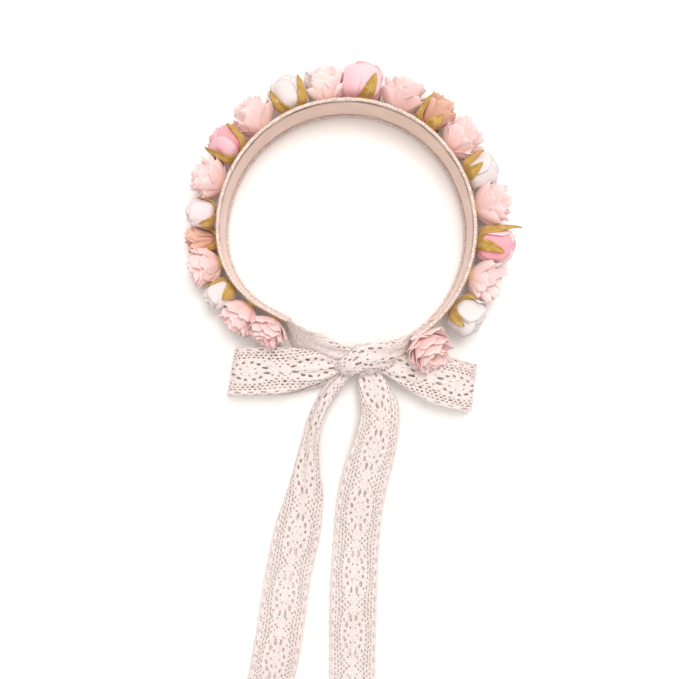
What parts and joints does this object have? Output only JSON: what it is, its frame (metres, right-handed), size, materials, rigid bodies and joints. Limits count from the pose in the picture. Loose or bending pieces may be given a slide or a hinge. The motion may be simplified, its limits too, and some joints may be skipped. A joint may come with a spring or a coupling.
{
  "type": "flower crown",
  "caption": "Circular lace headband with fabric blossoms and rosebuds glued around the outside, tied at the back in a lace bow with two long hanging tails.",
  "frame": {"origin": "centre of the head opening, on the plane that the crown's lower edge rests on", "axes": "+Z along the ring's axis, up when it lies on a table; the bow and its tails are on the -Y side"},
  "size_m": [0.2404, 0.5217, 0.0382],
  "materials": {
    "lace_cotton": "knitted cotton lace, off-white with a warm pink cast",
    "lining_satin": "smooth woven ribbon, beige pink, low sheen",
    "base_fabric": "woven strip with fine gold threads",
    "petal_peach": "pressed fabric, matt, translucent at the edges",
    "petal_pink": "pressed satin, soft sheen",
    "petal_rose": "pressed satin, soft sheen",
    "petal_white": "pressed satin, soft sheen",
    "petal_salmon": "pressed fabric, matt",
    "petal_lilac": "pressed satin, soft sheen",
    "sepal_ochre": "pressed fabric leaf, matt",
    "hot_glue": "clear to milky glue",
    "stamen": "dusted thread tips"
  },
  "bodies": {
    "crown": {"lining_ribbon": "lining_satin", "lace_band": "lace_cotton", "base_strip": "base_fabric", "upper_lace_edge": "lace_cotton", "lower_lace_edge": "lace_cotton", "bow_knot": "lace_cotton", "left_tie_strap": "lace_cotton", "right_tie_strap": "lace_cotton", "blossom_01_petals": "petal_peach", "blossom_01_calyx": "sepal_ochre", "blossom_02_petals": "petal_peach", "blossom_02_calyx": "sepal_ochre", "bud_03_petals": "petal_white", "bud_03_calyx": "sepal_ochre", "blossom_04_petals": "petal_peach", "blossom_04_calyx": "sepal_ochre", "rose_05_petals": "petal_salmon", "rose_05_calyx": "sepal_ochre", "bud_06_petals": "petal_lilac", "bud_06_calyx": "sepal_ochre", "blossom_07_petals": "petal_peach", "blossom_07_calyx": "sepal_ochre", "bud_08_petals": "petal_rose", "bud_08_calyx": "sepal_ochre", "blossom_09_petals": "petal_peach", "blossom_09_calyx": "sepal_ochre", "bud_10_petals": "petal_white", "bud_10_calyx": "sepal_ochre", "blossom_11_petals": "petal_peach", "blossom_11_calyx": "sepal_ochre", "bud_12_petals": "petal_pink", "bud_12_calyx": "sepal_ochre", "blossom_13_petals": "petal_peach", "blossom_13_calyx": "sepal_ochre", "rose_14_petals": "petal_salmon", "rose_14_calyx": "sepal_ochre", "blossom_15_petals": "petal_peach", "blossom_15_calyx": "sepal_ochre", "bud_16_petals": "petal_white", "bud_16_calyx": "sepal_ochre", "blossom_17_petals": "petal_peach", "blossom_17_calyx": "sepal_ochre", "bud_18_petals": "petal_pink", "bud_18_calyx": "sepal_ochre", "blossom_19_petals": "petal_peach", "blossom_19_calyx": "sepal_ochre", "bud_20_petals": "petal_white", "bud_20_calyx": "sepal_ochre", "blossom_21_petals": "petal_peach", "blossom_21_calyx": "sepal_ochre", "glue_pads": "hot_glue", "stamen_clusters": "stamen"},
    "left_loop": {"left_bow_loop": "lace_cotton"},
    "right_loop": {"right_bow_loop": "lace_cotton"},
    "left_tail_ribbon": {"left_tail": "lace_cotton"},
    "right_tail_ribbon": {"right_tail": "lace_cotton"}
  },
  "joints": [
    {"name": "left_tail_swing", "type": "hinge", "parent": "crown", "child": "left_tail_ribbon", "pos_m": [-0.0075, -0.1085, 0.014], "axis": [1, 0, 0], "range_deg": [-70, 70]},
    {"name": "right_tail_swing", "type": "hinge", "parent": "crown", "child": "right_tail_ribbon", "pos_m": [0.016, -0.1085, 0.014], "axis": [1, 0, 0], "range_deg": [-70, 70]},
    {"name": "left_loop_flap", "type": "hinge", "parent": "crown", "child": "left_loop", "pos_m": [-0.003, -0.0955, 0.014], "axis": [0, 1, 0], "range_deg": [-25, 60]},
    {"name": "right_loop_flap", "type": "hinge", "parent": "crown", "child": "right_loop", "pos_m": [0.03, -0.0965, 0.014], "axis": [0, -1, 0], "range_deg": [-25, 0]}
  ]
}
